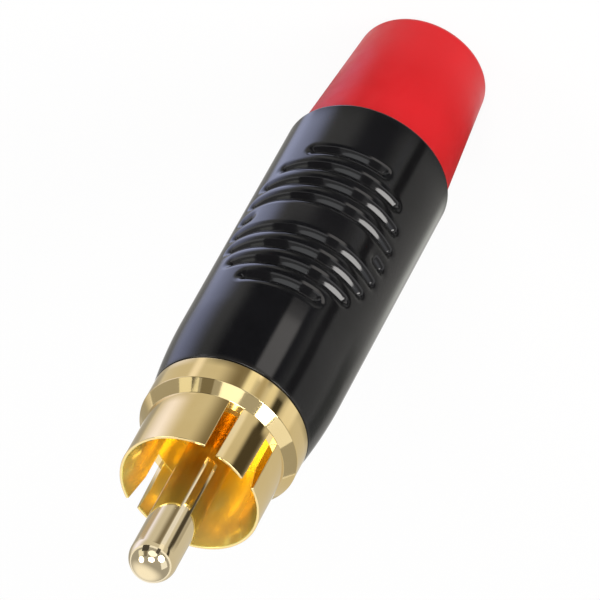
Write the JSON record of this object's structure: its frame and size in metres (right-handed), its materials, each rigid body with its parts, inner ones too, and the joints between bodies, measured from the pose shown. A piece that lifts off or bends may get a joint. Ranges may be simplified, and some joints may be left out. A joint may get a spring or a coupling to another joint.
{
  "type": "rca plug",
  "caption": "Straight RCA cable plug: black metal shell with moulded grip patches, red cable boot, gold slotted ground crown round a signal pin that screws out of the shell.",
  "frame": {"origin": "centre of the boot's flat rear end, where the plug stands", "axes": "+Z along the plug's axis towards the tip of the signal pin; -Y faces the middle of one grip patch"},
  "size_m": [0.0116, 0.0116, 0.0518],
  "materials": {
    "shell_black": "gloss",
    "boot_red": "satin",
    "gold_plate": "polished",
    "insulator_ivory": "satin",
    "chuck_white": "satin"
  },
  "bodies": {
    "housing": {"shell": "shell_black", "boot": "boot_red"},
    "clamp": {"chuck": "chuck_white"},
    "contacts": {"ground_contact": "gold_plate", "center_pin": "gold_plate", "insulator": "insulator_ivory"}
  },
  "joints": [
    {"name": "insert_turn", "type": "hinge", "parent": "housing", "child": "clamp", "pos_m": [0, 0, 0.0324], "axis": [0, 0, 1], "range_deg": [0, 2160]},
    {"name": "insert_advance", "type": "slide", "parent": "clamp", "child": "contacts", "axis": [0, 0, 1], "range_m": [0, 0.0045]}
  ],
  "couplings": [
    {"joint": "insert_turn", "follows": "insert_advance", "rad_per_m": 8377.6}
  ]
}
